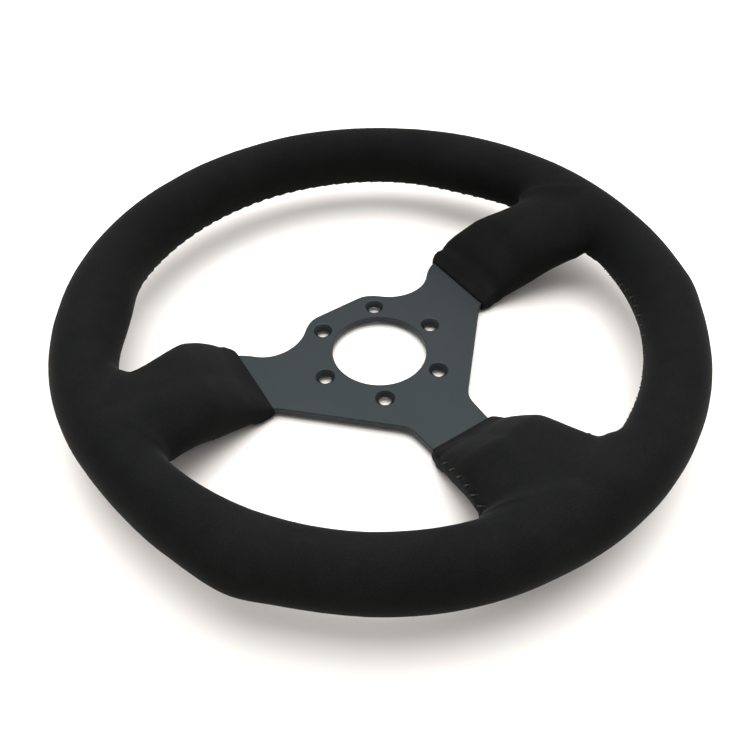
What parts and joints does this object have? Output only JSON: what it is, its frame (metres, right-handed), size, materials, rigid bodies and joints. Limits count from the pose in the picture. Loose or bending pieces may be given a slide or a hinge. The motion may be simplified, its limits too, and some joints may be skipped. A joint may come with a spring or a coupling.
{
  "type": "steering wheel",
  "caption": "Round three-spoke steering wheel with a flat bolt-on spoke plate, centre bore and padded suede-covered rim.",
  "frame": {"origin": "on the steering axis, in the plane that the wheel rests on when it lies face up (the underside of the spokes' rear covers)", "axes": "+Z along the steering axis towards the driver, +Y towards 12 o'clock with the single spoke at 6 o'clock, +X towards 3 o'clock as the driver sees it"},
  "size_m": [0.33, 0.33, 0.0526],
  "materials": {
    "anodised_plate": "black anodised, fine satin",
    "suede": "short-nap microfibre suede",
    "thread": "waxed sewing thread",
    "foam": "moulded polyurethane foam",
    "steel": "bare"
  },
  "bodies": {
    "root": {"spoke_plate": "anodised_plate", "rim_cover": "suede", "spoke_back_cover_right": "suede", "spoke_back_cover_left": "suede", "spoke_back_cover_bottom": "suede", "stitching_upper": "thread", "stitching_lower_right": "thread", "stitching_lower_left": "thread", "foam_padding": "foam", "rim_hoop": "steel", "hoop_tab_right": "steel", "hoop_tab_left": "steel", "hoop_tab_bottom": "steel", "rivet_right_1": "steel", "rivet_right_2": "steel", "rivet_left_1": "steel", "rivet_left_2": "steel", "rivet_bottom_1": "steel", "rivet_bottom_2": "steel"}
  },
  "joints": []
}
